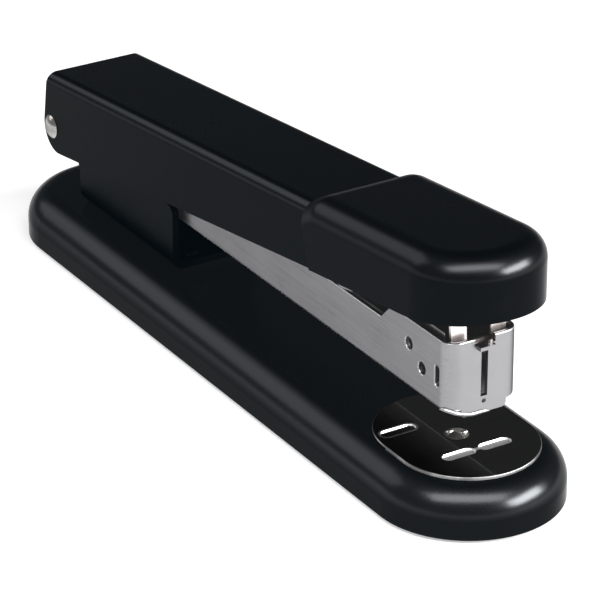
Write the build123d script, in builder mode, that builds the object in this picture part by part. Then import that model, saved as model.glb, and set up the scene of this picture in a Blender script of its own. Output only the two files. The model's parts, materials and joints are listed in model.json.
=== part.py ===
from build123d import *
import os
from math import radians, tan

# Full-strip desk stapler: +X points to the stapling end, +Y to its left, +Z up.
# The origin lies on the desk, under the middle of the base. Sizes in millimetres.

# Base
base_length = 190.0
base_width = 41.5
base_top = 11.6
base_wall = 1.5
base_edge_radius = 7.0
pad_proud = 0.8
pad_floor = 1.8
pad_rim_width = 3.0
pad_rim_height = 4.2
pad_gap = 0.1
tread_spacing = 12.0
tread_count = 11
tread_width = 2.5
tread_depth = 0.5

# Turning anvil, its pivot measured from the front of the base
anvil_from_front = 24.5
anvil_length = 38.0
anvil_width = 30.8
anvil_thickness = 0.7
anvil_edge_radius = 0.3
crimp_offset = 7.5
crimp_width = 2.8
crimp_depth = 0.4
crimp_draft = 30.0
crimp_inner_end = 0.5
crimp_outer_end = 8.3
pinning_inner_end = 5.2
pinning_outer_end = 13.6
stud_radius = 3.0
stud_neck_radius = 1.8
stud_head_radius = 2.6
stud_head_height = 0.7
stud_tail_radius = 2.0
stud_tail_length = 1.6
button_radius = 6.0
button_thickness = 3.0
button_recess = 1.4
button_room = 1.0
button_chamfer = 0.6
anvil_spring_wire = 0.35
anvil_spring_turns = 3.0
wire_sides = 6

# Pivot, from the rear of the base and from its top
pivot_from_rear = 13.4
pivot_rise = 15.5
pin_radius = 2.0
pin_head_radius = 2.8
pin_head_height = 1.1

# Hinge bracket, its rear edge measured from the pivot, and its rivets
bracket_setback = 10.6
bracket_length = 43.5
bracket_wall = 1.6
bracket_bend = 3.0
bracket_front_height = 15.4
bracket_corner = 2.0
bracket_throat_radius = 4.0
ear_radius = 4.3
rivet_radius = 1.5
rivet_head_radius = 2.6
rivet_head_height = 1.0
rivet_tail_radius = 2.3
rivet_tail_height = 0.8
front_rivet_inset = 4.5
front_rivet_spread = 9.0
rear_rivet_inset = 8.0

# Spring that lifts the magazine off the base, from its heel behind the rear rivet
lifter_width = 9.0
lifter_thickness = 0.5
lifter_heel_length = 5.0
lifter_foot_length = 6.0
lifter_rise_length = 21.0
lifter_toe_length = 5.0
lifter_toe_drop = 2.0
lifter_bend_radius = 4.0

# Handle, its rear measured from the pivot and its lines from the pivot's height
handle_wall = 1.2
handle_bend = 2.6
handle_rear_top_reach = 1.4
handle_rear_low_reach = 4.5
handle_rear_corner = 6.0
handle_pitch = 6.1
handle_top_rise = 21.9
handle_low_pitch = 8.36
handle_low_rise = 5.85
wall_front_setback = 52.55
tongue_setback = 11.55
tongue_inset = 1.85
tongue_corner = 4.0

# Front cap, its front measured from the nose
cap_overhang = 9.6
cap_length = 56.9
cap_side_step = 2.35
cap_top_step = 2.3
cap_front_flat = 0.4
cap_rim_radius = 5.2
cap_rear_lip = 0.5
cap_rear_run = 3.6
cap_rear_lean = 4.4
cap_rear_round = 8.0
cap_low_pitch = 7.6
cap_low_rise = 7.55
ledge_inset = 15.4
ledge_length = 12.0
ledge_lap = 1.3
ledge_height = 1.2
ledge_root = 0.2
ledge_gap = 0.35

# Magazine, with its nose ahead of the crimping grooves
magazine_wall = 1.0
magazine_drop = 4.0
magazine_height = 11.7
magazine_bend = 0.8
magazine_edge_radius = 0.3
magazine_rear_rise = 10.0
nose_lead = 1.95
nose_rise = 3.9
nose_length = 21.3
nose_step_run = 3.8
nose_corner = 3.2
nose_gap_width = 1.6
nose_gap_foot = 2.3
nose_bridge = 2.9
nose_notch_width = 5.0
nose_notch_depth = 1.6
nose_tab_width = 3.8
nose_tab_reach = 1.3
nose_tab_thickness = 0.8
nose_lip_drop = 1.4
nose_lip_round = 1.0
nose_pinhole_radius = 0.5
nose_pinhole_height = 1.2
side_hole_radius = 1.3
rear_hole_setback = 14.8
rear_hole_height = 10.0
front_hole_setback = 9.9
front_hole_height = 6.4
side_slot_setback = 4.4
side_slot_height = 7.1
side_slot_length = 4.6
side_slot_width = 1.5
side_rim_radius = 0.3

# Staple rail, guide rod and pusher inside the magazine
rail_width = 11.4
rail_wall = 0.8
rail_height = 9.1
rail_rear_setback = 9.6
rail_front_setback = 3.8
rail_slot_width = 3.0
rail_slot_rear_inset = 14.0
rail_slot_front_inset = 6.0
rail_foot_length = 8.0
rail_rivet_radius = 1.2
rail_rivet_head = 2.0
rail_rivet_height = 0.7
rail_rivet_front_inset = 56.0
rail_rivet_rear_inset = 22.0
rod_radius = 1.2
rod_height = 4.6
rod_stop_inset = 6.0
rod_stop_thickness = 1.6
pusher_inset = 0.4
pusher_length = 14.0
pusher_roof = 1.8
pusher_skirt = 0.65
pusher_skirt_foot = 2.5
pusher_eye_length = 6.0
pusher_eye_radius = 2.6
pusher_tongue_width = 2.4
pusher_spring_wire = 0.3
pusher_spring_turns = 18.0

# Staple driver and the handle's return spring
driver_thickness = 0.7
driver_lean = 3.0
driver_setback = 2.2
driver_rest_height = 2.0
driver_flange = 9.0
driver_fold_radius = 1.5
driver_window_cut = 3.0
driver_window_width = 5.8
driver_window_rise = -1.4
driver_window_height = 9.0
driver_rivet_radius = 1.2
driver_rivet_head = 2.0
driver_rivet_height = 0.8
driver_rivet_spread = 7.0
driver_rivet_inset = 6.0
return_prong_width = 1.4
return_thickness = 0.6
return_heel_setback = 41.0
return_heel_length = 18.0
return_reach = 25.0
return_toe_length = 5.0
return_toe_rise = 1.0
return_bend_radius = 4.0
return_web = 4.0

# Fits
running_fit = 0.05
seat_gap = 0.1
slide_gap = 0.15
spring_gap = 0.3
pusher_side_gap = 1.1
driver_side_gap = 1.0
bracket_side_gap = 0.8
handle_side_gap = 0.55

# Least share of a face's normal that points up, for a roof
roof_share = 0.9

# Widths, from the staple rail outwards
pusher_inside = rail_width + 2 * slide_gap
pusher_width = pusher_inside + 2 * pusher_skirt
magazine_inside = pusher_width + 2 * pusher_side_gap
magazine_width = magazine_inside + 2 * magazine_wall
bracket_inside = magazine_width + 2 * bracket_side_gap
bracket_width = bracket_inside + 2 * bracket_wall
handle_inside = bracket_width + 2 * handle_side_gap
handle_width = handle_inside + 2 * handle_wall
tongue_width = handle_width - 2 * tongue_inset
cap_width = handle_width + 2 * cap_side_step
cap_inside = handle_width + 2 * seat_gap
cap_wall = (cap_width - cap_inside) / 2
cap_corner_radius = (cap_width - cap_front_flat) / 2
driver_width = magazine_inside - 2 * driver_side_gap
return_fork_gap = magazine_inside + magazine_wall - return_prong_width
return_width = return_fork_gap + 2 * return_prong_width

# Heights, from the top of the base upwards
anvil_top = base_top + anvil_thickness
bracket_floor_top = base_top + bracket_wall
bracket_front_top = base_top + bracket_front_height
pivot_z = base_top + pivot_rise
magazine_bottom = pivot_z - magazine_drop
magazine_floor_top = magazine_bottom + magazine_wall
magazine_top = magazine_bottom + magazine_height
nose_top = magazine_top + nose_rise
rail_top = magazine_floor_top + rail_height
rod_z = magazine_floor_top + rod_height
handle_slope = tan(radians(handle_pitch))

# Stations along the part: the hinge from the rear of the base, the nose from the anvil
pivot_x = pivot_from_rear - base_length / 2
bracket_rear = pivot_x + bracket_setback
bracket_front = bracket_rear + bracket_length
rear_rivet_x = bracket_rear + rear_rivet_inset
front_rivet_x = bracket_front - front_rivet_inset
rail_rear = pivot_x + rail_rear_setback
rod_stop_x = rail_rear + rod_stop_inset
anvil_x = base_length / 2 - anvil_from_front
nose_front = anvil_x + crimp_offset + nose_lead
rail_front = nose_front - rail_front_setback
pusher_front = rail_front - pusher_inset
pusher_rear = pusher_front - pusher_length
cap_front = nose_front + cap_overhang
cap_rear = cap_front - cap_length
wall_front = cap_front - wall_front_setback
tongue_front = cap_front - tongue_setback
driver_rivet_x = tongue_front - driver_rivet_inset


def handle_top(x):
    return pivot_z + handle_top_rise + handle_slope * x


def handle_low(x):
    return pivot_z + handle_low_rise + tan(radians(handle_low_pitch)) * x


def cap_low(x):
    return pivot_z + cap_low_rise + tan(radians(cap_low_pitch)) * x


def under_handle(x):
    return handle_top(x) - handle_wall / Vector(1, handle_slope).normalized().X


os.makedirs("parts", exist_ok=True)

rail_rivet_places = [
    (rail_rear + rail_rivet_rear_inset, 0),
    (rail_front - rail_rivet_front_inset, 0),
]
rivet_places = [
    (front_rivet_x, front_rivet_spread / 2),
    (front_rivet_x, -front_rivet_spread / 2),
    (rear_rivet_x, 0),
]

# Base shell: a pressed tray turned upside down, round at both ends
with BuildPart() as base_shell:
    with BuildSketch(Plane.XY.offset(pad_proud)):
        SlotOverall(base_length, base_width)
    extrude(amount=base_top - pad_proud)
    fillet(base_shell.faces().sort_by(Axis.Z)[-1].edges(), base_edge_radius)
    offset(amount=-base_wall, openings=base_shell.faces().sort_by(Axis.Z)[0])
    with BuildSketch(Plane.XY.offset(base_top)):
        with Locations((anvil_x, 0)):
            Circle(stud_radius + running_fit)
        with Locations(*rivet_places):
            Circle(rivet_radius)
    extrude(amount=-base_wall, mode=Mode.SUBTRACT)
base_shell.part.label = "base_shell"
export_step(base_shell.part, "parts/base_shell.step")

# Non-slip pad: a shallow rubber tray that plugs the underside of the base
pad_length = base_length - 2 * (base_wall + pad_gap)
pad_width = base_width - 2 * (base_wall + pad_gap)
with BuildPart() as base_pad:
    with BuildSketch():
        SlotOverall(pad_length, pad_width)
    extrude(amount=pad_rim_height)
    with BuildSketch(Plane.XY.offset(pad_floor)):
        SlotOverall(pad_length - 2 * pad_rim_width, pad_width - 2 * pad_rim_width)
    extrude(amount=pad_rim_height - pad_floor, mode=Mode.SUBTRACT)
    with BuildSketch():
        with GridLocations(tread_spacing, 1, tread_count, 1):
            SlotOverall(pad_width - 2 * pad_rim_width, tread_width, rotation=90)
    extrude(amount=tread_depth, mode=Mode.SUBTRACT)
    with BuildSketch():
        with Locations((anvil_x, 0)):
            Circle(button_radius + button_room)
    extrude(amount=pad_floor, mode=Mode.SUBTRACT)
base_pad.part.label = "base_pad"
export_step(base_pad.part, "parts/base_pad.step")

# Anvil: an oval plate with a crimping pair of grooves ahead of its pivot
# and a wider pinning pair behind it, so that half a turn swaps them
with BuildPart() as anvil_plate:
    with BuildSketch(Plane.XY.offset(base_top)):
        with Locations((anvil_x, 0)):
            SlotOverall(anvil_length, anvil_width)
    extrude(amount=anvil_thickness)
    fillet(anvil_plate.faces().sort_by(Axis.Z)[-1].edges(), anvil_edge_radius)
    for x, inner, outer in (
        (anvil_x + crimp_offset, crimp_inner_end, crimp_outer_end),
        (anvil_x - crimp_offset, pinning_inner_end, pinning_outer_end),
    ):
        with BuildSketch(Plane.XY.offset(anvil_top)):
            with Locations((x, (inner + outer) / 2), (x, -(inner + outer) / 2)):
                SlotOverall(outer - inner, crimp_width, rotation=90)
        extrude(amount=-crimp_depth, taper=crimp_draft, mode=Mode.SUBTRACT)
    with BuildSketch(Plane.XY.offset(base_top)):
        with Locations((anvil_x, 0)):
            Circle(stud_neck_radius + running_fit)
    extrude(amount=anvil_thickness, mode=Mode.SUBTRACT)
anvil_plate.part.label = "anvil_plate"
export_step(anvil_plate.part, "parts/anvil_plate.step")

# Anvil stud: head on the plate, neck in its hole, shoulder through the base, tail in the button
button_top = button_recess + button_thickness
stud_head_seat = anvil_top + running_fit
with BuildPart() as anvil_stud:
    with BuildSketch(Plane((anvil_x, 0, 0), x_dir=(1, 0, 0), z_dir=(0, -1, 0))):
        with BuildLine():
            head = TangentArc(
                (0, stud_head_seat + stud_head_height),
                (stud_head_radius, stud_head_seat),
                tangent=(1, 0),
            )
            Polyline(
                head @ 1,
                (stud_neck_radius, stud_head_seat),
                (stud_neck_radius, base_top - running_fit),
                (stud_radius, base_top - running_fit),
                (stud_radius, button_top),
                (stud_tail_radius, button_top),
                (stud_tail_radius, button_top - stud_tail_length),
                (0, button_top - stud_tail_length),
                head @ 0,
            )
        make_face()
    revolve(axis=Axis((anvil_x, 0, 0), (0, 0, 1)))
anvil_stud.part.label = "anvil_stud"
export_step(anvil_stud.part, "parts/anvil_stud.step")

# Button pressed from below to lift the anvil, on the stud's tail
with BuildPart() as anvil_button:
    with BuildSketch(Plane.XY.offset(button_recess)):
        with Locations((anvil_x, 0)):
            Circle(button_radius)
    extrude(amount=button_thickness)
    chamfer(anvil_button.faces().sort_by(Axis.Z)[0].edges(), button_chamfer)
    with BuildSketch(Plane.XY.offset(button_top)):
        with Locations((anvil_x, 0)):
            Circle(stud_tail_radius)
    extrude(amount=-stud_tail_length, mode=Mode.SUBTRACT)
anvil_button.part.label = "anvil_button"
export_step(anvil_button.part, "parts/anvil_button.step")

# Coil that holds the anvil down, between the ceiling of the base and the button
anvil_spring_radius = stud_radius + spring_gap + anvil_spring_wire
anvil_spring_low = button_top + anvil_spring_wire + seat_gap
anvil_spring_high = base_top - base_wall - anvil_spring_wire - seat_gap
anvil_spring_height = anvil_spring_high - anvil_spring_low
with BuildPart() as anvil_spring:
    with BuildLine() as anvil_coil:
        Helix(
            anvil_spring_height / anvil_spring_turns,
            anvil_spring_height,
            anvil_spring_radius,
            center=(anvil_x, 0, anvil_spring_low),
        )
    with BuildSketch(Plane(anvil_coil.line @ 0, z_dir=anvil_coil.line % 0)):
        RegularPolygon(anvil_spring_wire, wire_sides)
    sweep(path=anvil_coil.line, is_frenet=True)
anvil_spring.part.label = "anvil_spring"
export_step(anvil_spring.part, "parts/anvil_spring.step")

# Hinge bracket: a channel folded up from its foot, with two ears that carry the pivot
with BuildPart() as hinge_bracket:
    with BuildSketch(Plane.XZ):
        with BuildLine():
            FilletPolyline(
                (pivot_x, pivot_z - ear_radius),
                (bracket_rear, pivot_z - ear_radius),
                (bracket_rear, base_top),
                (bracket_front, base_top),
                (bracket_front, bracket_front_top),
                (pivot_x, pivot_z + ear_radius),
                radius=(0, bracket_throat_radius, 0, 0, bracket_corner, 0),
                close=True,
            )
        make_face()
        with Locations((pivot_x, pivot_z)):
            Circle(ear_radius)
    extrude(amount=bracket_width / 2, both=True)
    fillet(hinge_bracket.edges().filter_by(Axis.X).group_by(Axis.Z)[0], bracket_bend)
    with BuildSketch(Plane.YZ.offset(pivot_x - ear_radius)) as channel:
        with Locations((0, bracket_floor_top)):
            Rectangle(
                bracket_inside,
                pivot_z,
                align=(Align.CENTER, Align.MIN),
            )
        fillet(channel.vertices().group_by(Axis.Y)[0], bracket_bend - bracket_wall)
    extrude(amount=bracket_front - pivot_x + ear_radius, mode=Mode.SUBTRACT)
    with BuildSketch(Plane.XZ):
        with Locations((pivot_x, pivot_z)):
            Circle(pin_radius + running_fit)
    extrude(amount=bracket_width / 2, both=True, mode=Mode.SUBTRACT)
    with BuildSketch(Plane.XY.offset(base_top)):
        with Locations(*rivet_places):
            Circle(rivet_radius)
    extrude(amount=bracket_wall, mode=Mode.SUBTRACT)
hinge_bracket.part.label = "hinge_bracket"
export_step(hinge_bracket.part, "parts/hinge_bracket.step")


# Half outline of a rivet, from its flat tail at y = low to its domed head at y = high
def rivet_half(shank, low, high, head, head_height, tail, tail_height):
    with BuildLine() as outline:
        dome = TangentArc((0, high + head_height), (head, high), tangent=(1, 0))
        Polyline(
            dome @ 1,
            (shank, high),
            (shank, low),
            (tail, low),
            (tail, low - tail_height),
            (0, low - tail_height),
            dome @ 0,
        )
    make_face(outline.edges())


# Rivets through the bracket's foot and the base; the rear one also holds the lifter spring
with BuildPart() as bracket_rivets:
    for x, y in rivet_places:
        seat = bracket_floor_top + (lifter_thickness if x == rear_rivet_x else 0)
        with BuildSketch(Plane((x, y, 0), x_dir=(1, 0, 0), z_dir=(0, -1, 0))):
            rivet_half(
                rivet_radius,
                base_top - base_wall,
                seat,
                rivet_head_radius,
                rivet_head_height,
                rivet_tail_radius,
                rivet_tail_height,
            )
        revolve(axis=Axis((x, y, 0), (0, 0, 1)))
bracket_rivets.part.label = "bracket_rivets"
export_step(bracket_rivets.part, "parts/bracket_rivets.step")

# Lifter spring: a bowed leaf from the bracket's foot up to the underside of the magazine
lifter_heel = rear_rivet_x - lifter_heel_length
lifter_bend = rear_rivet_x + lifter_foot_length
lifter_crest = lifter_bend + lifter_rise_length
lifter_foot_z = bracket_floor_top + lifter_thickness / 2
lifter_crest_z = magazine_bottom - spring_gap - lifter_thickness / 2
with BuildPart() as lifter_spring:
    with BuildSketch(Plane.XZ):
        with BuildLine():
            FilletPolyline(
                (lifter_heel, lifter_foot_z),
                (lifter_bend, lifter_foot_z),
                (lifter_crest, lifter_crest_z),
                (lifter_crest + lifter_toe_length, lifter_crest_z - lifter_toe_drop),
                radius=lifter_bend_radius,
            )
        trace(line_width=lifter_thickness)
    extrude(amount=lifter_width / 2, both=True)
    with BuildSketch(Plane.XY.offset(bracket_floor_top)):
        with Locations((rear_rivet_x, 0)):
            Circle(rivet_radius)
    extrude(amount=lifter_thickness, mode=Mode.SUBTRACT)
lifter_spring.part.label = "lifter_spring"
export_step(lifter_spring.part, "parts/lifter_spring.step")

# Pivot pin with a domed head outside each wall of the handle
with BuildPart() as pivot_pin:
    with BuildSketch(Plane((pivot_x, 0, pivot_z), x_dir=(1, 0, 0), z_dir=(0, 0, 1))):
        with BuildLine():
            near = TangentArc(
                (0, handle_width / 2 + pin_head_height),
                (pin_head_radius, handle_width / 2),
                tangent=(1, 0),
            )
            far = TangentArc(
                (0, -handle_width / 2 - pin_head_height),
                (pin_head_radius, -handle_width / 2),
                tangent=(1, 0),
            )
            Polyline(
                near @ 1,
                (pin_radius, handle_width / 2),
                (pin_radius, -handle_width / 2),
                far @ 1,
            )
            Line(far @ 0, near @ 0)
        make_face()
    revolve(axis=Axis((pivot_x, 0, pivot_z), (0, 1, 0)))
pivot_pin.part.label = "pivot_pin"
export_step(pivot_pin.part, "parts/pivot_pin.step")

# Handle: a folded steel channel, deeper at the rear, with a flat tongue under the cap
handle_rear_top_x = pivot_x - handle_rear_top_reach
handle_rear_low_x = pivot_x - handle_rear_low_reach
tongue_plane = Plane(
    (0, 0, handle_top(0)), x_dir=(1, 0, handle_slope), z_dir=(-handle_slope, 0, 1)
)
driver_rivet_places = [
    (driver_rivet_x, driver_rivet_spread / 2),
    (driver_rivet_x, -driver_rivet_spread / 2),
]
with BuildPart() as handle_channel:
    with BuildSketch(Plane.XZ):
        with BuildLine():
            FilletPolyline(
                (handle_rear_top_x, handle_top(handle_rear_top_x)),
                (handle_rear_low_x, handle_low(handle_rear_low_x)),
                (tongue_front, handle_low(tongue_front)),
                (tongue_front, handle_top(tongue_front)),
                radius=(0, handle_rear_corner, 0, 0),
                close=True,
            )
        make_face()
    extrude(amount=handle_width / 2, both=True)
    roof = handle_channel.faces().filter_by(lambda face: face.normal_at().Z > roof_share)
    fillet(roof.edges().filter_by(Axis.Y, reverse=True), handle_bend)
    with BuildSketch(Plane.XZ):
        with BuildLine():
            Polyline(
                (handle_rear_low_x, under_handle(handle_rear_low_x)),
                (tongue_front, under_handle(tongue_front)),
                (tongue_front, 0),
                (handle_rear_low_x, 0),
                close=True,
            )
        make_face()
    extrude(amount=handle_inside / 2, both=True, mode=Mode.SUBTRACT)
    ceiling = handle_channel.faces().filter_by(lambda face: face.normal_at().Z < -roof_share)
    ceiling = ceiling.sort_by(SortBy.AREA)[-1]
    fillet(ceiling.edges().filter_by(Axis.Y, reverse=True), handle_bend - handle_wall)
    with BuildSketch(Plane.XY):
        with Locations((wall_front, 0)):
            Rectangle(
                tongue_front, handle_width, align=(Align.MIN, Align.CENTER)
            )
        with Locations((wall_front - tongue_corner, 0)):
            Rectangle(
                tongue_front - wall_front + tongue_corner,
                tongue_width,
                align=(Align.MIN, Align.CENTER),
                mode=Mode.SUBTRACT,
            )
    extrude(amount=handle_top(tongue_front), mode=Mode.SUBTRACT)
    fillet(
        handle_channel.edges().filter_by(Axis.Z).group_by(Axis.X)[-1], tongue_corner
    )
    with BuildSketch(Plane.XZ):
        with Locations((pivot_x, pivot_z)):
            Circle(pin_radius)
    extrude(amount=handle_width / 2, both=True, mode=Mode.SUBTRACT)
    with BuildSketch(tongue_plane):
        with Locations(*driver_rivet_places):
            Circle(driver_rivet_radius)
    extrude(amount=-handle_wall, mode=Mode.SUBTRACT)
handle_channel.part.label = "handle_channel"
export_step(handle_channel.part, "parts/handle_channel.step")


# Plan outline from rear to front, with both front corners rounded
def rounded_front(rear, front, width, corner):
    with Locations(((rear + front) / 2, 0)):
        plan = Rectangle(front - rear, width)
    fillet(plan.vertices().group_by(Axis.X)[-1], corner)


# Space inside the front cap, a seat's gap outside the handle's roof and walls
with BuildPart() as cap_core:
    with BuildSketch(Plane.XY):
        rounded_front(0, cap_front - cap_wall, cap_inside, cap_corner_radius - cap_wall)
    extrude(amount=2 * handle_top(cap_front))
    with BuildSketch(Plane.XZ):
        with BuildLine():
            Polyline(
                (0, 0),
                (cap_front, 0),
                (cap_front, handle_top(cap_front) + seat_gap),
                (0, handle_top(0) + seat_gap),
                close=True,
            )
        make_face()
    extrude(amount=cap_width, both=True, mode=Mode.INTERSECT)
    core_roof = cap_core.faces().filter_by(lambda face: face.normal_at().Z > roof_share)
    fillet(core_roof.edges().filter_by(Axis.Y, reverse=True), handle_bend + seat_gap)

cap_crown_rear = cap_rear + cap_rear_run
cap_low_rear = cap_rear + cap_rear_lean
ledge_rear = cap_rear + ledge_inset
ledge_front = ledge_rear + ledge_length
ledge_root_y = cap_inside / 2 + ledge_root
ledge_tip_y = tongue_width / 2 - ledge_lap

# Front cap: a moulded cover, round in plan at the front and sloping to a thin lip at the rear,
# with snap ledges under the tongue
with BuildPart() as front_cap:
    with BuildSketch(Plane.XY):
        rounded_front(cap_rear, cap_front, cap_width, cap_corner_radius)
    extrude(amount=2 * handle_top(cap_front))
    with BuildSketch(Plane.XZ):
        with BuildLine():
            FilletPolyline(
                (cap_low_rear, cap_low(cap_low_rear)),
                (cap_front, cap_low(cap_front)),
                (cap_front, handle_top(cap_front) + cap_top_step),
                (cap_crown_rear, handle_top(cap_crown_rear) + cap_top_step),
                (cap_rear, handle_top(cap_rear) + cap_rear_lip),
                radius=(0, 0, 0, cap_rear_round, 0),
                close=True,
            )
        make_face()
    extrude(amount=cap_width, both=True, mode=Mode.INTERSECT)
    crown = front_cap.faces().filter_by(lambda face: face.normal_at().Z > roof_share)
    crown = crown.sort_by(SortBy.AREA)[-1]
    fillet(crown.edges().filter_by(Axis.Y, reverse=True), cap_rim_radius)
    add(cap_core.part, mode=Mode.SUBTRACT)
    for side in (-1, 1):
        with BuildSketch(Plane.XZ.offset(side * ledge_root_y)):
            with BuildLine():
                Polyline(
                    (ledge_rear, under_handle(ledge_rear) - ledge_gap),
                    (ledge_front, under_handle(ledge_front) - ledge_gap),
                    (ledge_front, under_handle(ledge_front) - ledge_gap - ledge_height),
                    (ledge_rear, under_handle(ledge_rear) - ledge_gap - ledge_height),
                    close=True,
                )
            make_face()
        extrude(amount=side * (ledge_tip_y - ledge_root_y))
front_cap.part.label = "front_cap"
export_step(front_cap.part, "parts/front_cap.step")


# Plan of the hollow between the magazine's walls
def magazine_hollow():
    rounded_front(
        pivot_x - 2 * magazine_drop,
        nose_front - magazine_wall,
        magazine_inside,
        nose_corner - magazine_wall,
    )


# Magazine: a nickelled channel whose walls rise and fold round into the nose
nose_lip_low = magazine_bottom - nose_lip_drop
nose_step_x = nose_front - nose_length - nose_step_run
nose_gap_low = magazine_bottom + nose_gap_foot
nose_gap_high = nose_top - nose_bridge
with BuildPart() as magazine_channel:
    with BuildSketch(Plane.XY.offset(magazine_bottom)):
        rounded_front(pivot_x - magazine_drop, nose_front, magazine_width, nose_corner)
    extrude(amount=nose_top - magazine_bottom)
    underside = magazine_channel.faces().sort_by(Axis.Z)[0]
    rear_edge = underside.edges().sort_by(Axis.X)[0]
    fillet(underside.edges() - [rear_edge], magazine_bend)
    with BuildSketch(Plane.XZ):
        with BuildLine():
            Polyline(
                (pivot_x, magazine_bottom),
                (nose_front, magazine_bottom),
                (nose_front, nose_top),
                (nose_step_x + nose_step_run, nose_top),
                (nose_step_x, magazine_top),
                (pivot_x + magazine_rear_rise, magazine_top),
                (pivot_x, pivot_z + magazine_drop),
                close=True,
            )
        make_face()
        with Locations((pivot_x, pivot_z)):
            Circle(magazine_drop)
    extrude(amount=magazine_width / 2, both=True, mode=Mode.INTERSECT)
    with BuildSketch(Plane.XY.offset(nose_lip_low)):
        with Locations((nose_front, 0)):
            Rectangle(
                magazine_wall,
                magazine_width - 2 * nose_corner,
                align=(Align.MAX, Align.CENTER),
            )
    extrude(amount=nose_lip_drop + magazine_bend)
    lip_ends = magazine_channel.edges().filter_by(Axis.X).group_by(Axis.Z)[0]
    fillet(lip_ends, nose_lip_round)
    with BuildSketch(Plane.XY.offset(magazine_floor_top)):
        magazine_hollow()
    extrude(amount=nose_top - magazine_floor_top, mode=Mode.SUBTRACT)
    wall_tops = magazine_channel.faces().filter_by(Axis.Z).filter_by_position(
        Axis.Z, magazine_top - magazine_wall, nose_top + magazine_wall
    )
    fillet(wall_tops.edges().filter_by(Axis.Y, reverse=True), magazine_edge_radius)
    with BuildSketch(Plane.XY.offset(magazine_bottom)):
        magazine_hollow()
        with Locations((rail_front + seat_gap, 0)):
            Rectangle(
                nose_front - magazine_wall - rail_front - seat_gap,
                driver_width + 2 * spring_gap,
                align=(Align.MIN, Align.CENTER),
                mode=Mode.INTERSECT,
            )
    extrude(amount=magazine_wall, mode=Mode.SUBTRACT)
    with BuildSketch(Plane.YZ.offset(nose_front)):
        with Locations((0, nose_gap_low)):
            Rectangle(
                nose_gap_width, nose_gap_high - nose_gap_low, align=(Align.CENTER, Align.MIN)
            )
        with Locations((0, nose_top)):
            Rectangle(nose_notch_width, nose_notch_depth, align=(Align.CENTER, Align.MAX))
        with Locations((0, magazine_bottom + nose_pinhole_height)):
            Circle(nose_pinhole_radius)
    extrude(amount=-magazine_wall, mode=Mode.SUBTRACT)
    with BuildSketch(Plane.XZ):
        with Locations(
            (nose_front - rear_hole_setback, magazine_bottom + rear_hole_height),
            (nose_front - front_hole_setback, magazine_bottom + front_hole_height),
        ):
            Circle(side_hole_radius)
        with Locations((nose_front - side_slot_setback, magazine_bottom + side_slot_height)):
            SlotOverall(side_slot_length, side_slot_width, rotation=90)
        with Locations((pivot_x, pivot_z)):
            Circle(pin_radius + running_fit)
    extrude(amount=magazine_width / 2, both=True, mode=Mode.SUBTRACT)
    for side in (Axis.Y, -Axis.Y):
        wall = magazine_channel.faces().filter_by(Axis.Y).sort_by(side)[-1]
        holes = [wire for wire in wall.inner_wires() if wire.center().X > nose_step_x]
        fillet([edge for wire in holes for edge in wire.edges()], side_rim_radius)
    with BuildSketch(Plane.XY.offset(magazine_bottom)):
        with Locations(*rail_rivet_places):
            Circle(rail_rivet_radius)
    extrude(amount=magazine_wall, mode=Mode.SUBTRACT)
    with BuildSketch(Plane.XY.offset(nose_top - nose_notch_depth)):
        with Locations((nose_front - magazine_wall, 0)):
            Rectangle(
                magazine_wall + nose_tab_reach, nose_tab_width, align=(Align.MIN, Align.CENTER)
            )
    extrude(amount=-nose_tab_thickness)
magazine_channel.part.label = "magazine_channel"
export_step(magazine_channel.part, "parts/magazine_channel.step")

rail_slot_rear = rail_rear + rail_slot_rear_inset
rail_slot_front = rail_front - rail_slot_front_inset

# Staple rail: an inverted channel, slotted along its top and closed at the front
with BuildPart() as staple_rail:
    with BuildSketch(Plane.XY.offset(magazine_floor_top)):
        with Locations((rail_rear, 0)):
            Rectangle(rail_front - rail_rear, rail_width, align=(Align.MIN, Align.CENTER))
    extrude(amount=rail_top - magazine_floor_top)
    fillet(staple_rail.edges().filter_by(Axis.X).group_by(Axis.Z)[-1], rail_wall)
    with BuildSketch(Plane.XY.offset(magazine_floor_top)):
        with Locations((rail_rear, 0)):
            Rectangle(
                rail_front - rail_wall - rail_rear,
                rail_width - 2 * rail_wall,
                align=(Align.MIN, Align.CENTER),
            )
        with Locations(*rail_rivet_places):
            Rectangle(rail_foot_length, rail_width, mode=Mode.SUBTRACT)
    extrude(amount=rail_wall, mode=Mode.SUBTRACT)
    with BuildSketch(Plane.XY.offset(magazine_floor_top + rail_wall)):
        with Locations((rail_rear, 0)):
            Rectangle(
                rail_front - rail_wall - rail_rear,
                rail_width - 2 * rail_wall,
                align=(Align.MIN, Align.CENTER),
            )
    extrude(amount=rail_top - magazine_floor_top - 2 * rail_wall, mode=Mode.SUBTRACT)
    with BuildSketch(Plane.XY.offset(rail_top)):
        with Locations(((rail_slot_rear + rail_slot_front) / 2, 0)):
            SlotOverall(rail_slot_front - rail_slot_rear, rail_slot_width)
    extrude(amount=-rail_wall, mode=Mode.SUBTRACT)
    with BuildSketch(Plane.XY.offset(magazine_floor_top)):
        with Locations(*rail_rivet_places):
            Circle(rail_rivet_radius)
    extrude(amount=rail_wall, mode=Mode.SUBTRACT)
    with BuildSketch(Plane.YZ.offset(rail_front)):
        with Locations((0, rod_z)):
            Circle(rod_radius)
    extrude(amount=-rail_wall, mode=Mode.SUBTRACT)
staple_rail.part.label = "staple_rail"
export_step(staple_rail.part, "parts/staple_rail.step")

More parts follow.
